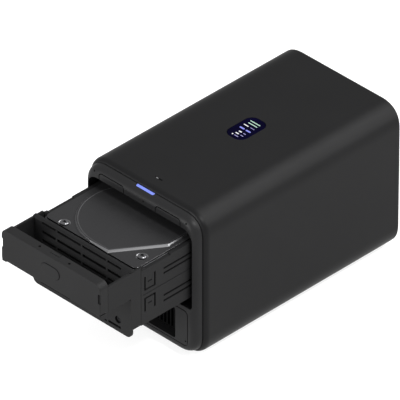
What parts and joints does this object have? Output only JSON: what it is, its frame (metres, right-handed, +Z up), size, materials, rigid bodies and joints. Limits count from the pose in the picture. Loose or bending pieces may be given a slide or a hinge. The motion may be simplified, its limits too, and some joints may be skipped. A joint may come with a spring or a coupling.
{
  "type": "nas enclosure",
  "caption": "Desktop network storage enclosure with a pull-out tray that holds hard drives one above the other, a top display and a rear fan.",
  "frame": {"origin": "on the standing surface, under the middle of the whole object's box with the tray at its rest place, 97 mm out", "axes": "+Z up, -Y towards the front where the tray comes out, +X to the right seen from the front"},
  "size_m": [0.129, 0.323, 0.137],
  "materials": {
    "shell_plastic": "fine satin moulded texture",
    "tray_plastic": "fine matt moulded texture",
    "black_plastic": "matt",
    "foot_rubber": "matt",
    "sheet_steel": "galvanised sheet",
    "cast_aluminium": "dark coated casting",
    "cover_metal": "dark satin coating",
    "bright_steel": "bright plated",
    "circuit_board": "solder mask",
    "anodised": "dark anodised",
    "light_pipe": "lit translucent light guide",
    "dark_glass": "smoked glass over a lit display"
  },
  "bodies": {
    "enclosure": {"backplane_board": "circuit_board", "board_screw_front_left": "bright_steel", "board_screw_front_right": "bright_steel", "board_screw_rear_left": "bright_steel", "board_screw_rear_right": "bright_steel", "cage_floor": "sheet_steel", "display_board": "circuit_board", "display_glass": "dark_glass", "display_panel": "black_plastic", "drive_cage": "sheet_steel", "drive_socket_lower": "black_plastic", "drive_socket_upper": "black_plastic", "ethernet_port": "sheet_steel", "fan_frame": "black_plastic", "fan_screw_lower_left": "black_plastic", "fan_screw_lower_right": "black_plastic", "fan_screw_upper_left": "black_plastic", "fan_screw_upper_right": "black_plastic", "foot_front_left": "foot_rubber", "foot_front_right": "foot_rubber", "foot_rear_left": "foot_rubber", "foot_rear_right": "foot_rubber", "front_bezel": "tray_plastic", "guide_rail_left": "black_plastic", "guide_rail_right": "black_plastic", "heat_sink": "anodised", "intake_grille": "black_plastic", "mainboard": "circuit_board", "outer_sleeve": "shell_plastic", "rear_cover": "shell_plastic", "rear_screw_lower_left": "black_plastic", "rear_screw_lower_right": "black_plastic", "rear_screw_upper_left": "black_plastic", "rear_screw_upper_right": "black_plastic", "status_light_bar": "light_pipe", "usb_c_port": "bright_steel"},
    "tray": {"drive_lower_board": "circuit_board", "drive_lower_body": "cast_aluminium", "drive_lower_cover": "cover_metal", "drive_lower_screw_front_left": "bright_steel", "drive_lower_screw_front_right": "bright_steel", "drive_lower_screw_rear_left": "bright_steel", "drive_lower_screw_rear_right": "bright_steel", "drive_upper_board": "circuit_board", "drive_upper_body": "cast_aluminium", "drive_upper_cover": "cover_metal", "drive_upper_screw_front_left": "bright_steel", "drive_upper_screw_front_right": "bright_steel", "drive_upper_screw_rear_left": "bright_steel", "drive_upper_screw_rear_right": "bright_steel", "handle_housing": "tray_plastic", "handle_plate": "tray_plastic", "housing_screw_left": "bright_steel", "housing_screw_right": "bright_steel", "louver_panel": "tray_plastic", "tray_frame": "tray_plastic"},
    "lock_button": {"lock_button": "tray_plastic"},
    "latch": {"latch_tongue": "black_plastic"},
    "fan": {"fan_rotor": "black_plastic"},
    "reset": {"reset_button": "black_plastic"}
  },
  "joints": [
    {"name": "tray_slide", "type": "slide", "parent": "enclosure", "child": "tray", "axis": [0, 1, 0], "range_m": [-0.06, 0.097]},
    {"name": "lock_button_press", "type": "slide", "parent": "tray", "child": "lock_button", "axis": [0, 1, 0], "range_m": [0, 0.0022], "stiffness_N_per_m": 400},
    {"name": "latch_rise", "type": "slide", "parent": "tray", "child": "latch", "axis": [0, 0, 1], "range_m": [0, 0.0044]},
    {"name": "fan_spin", "type": "hinge", "parent": "enclosure", "child": "fan", "pos_m": [0, 0.1453, 0.0865], "axis": [0, 1, 0], "continuous": true},
    {"name": "reset_press", "type": "slide", "parent": "enclosure", "child": "reset", "axis": [0, -1, 0], "range_m": [0, 0.0008], "stiffness_N_per_m": 500}
  ],
  "couplings": [
    {"joint": "latch_rise", "follows": "lock_button_press", "ratio": 2}
  ]
}
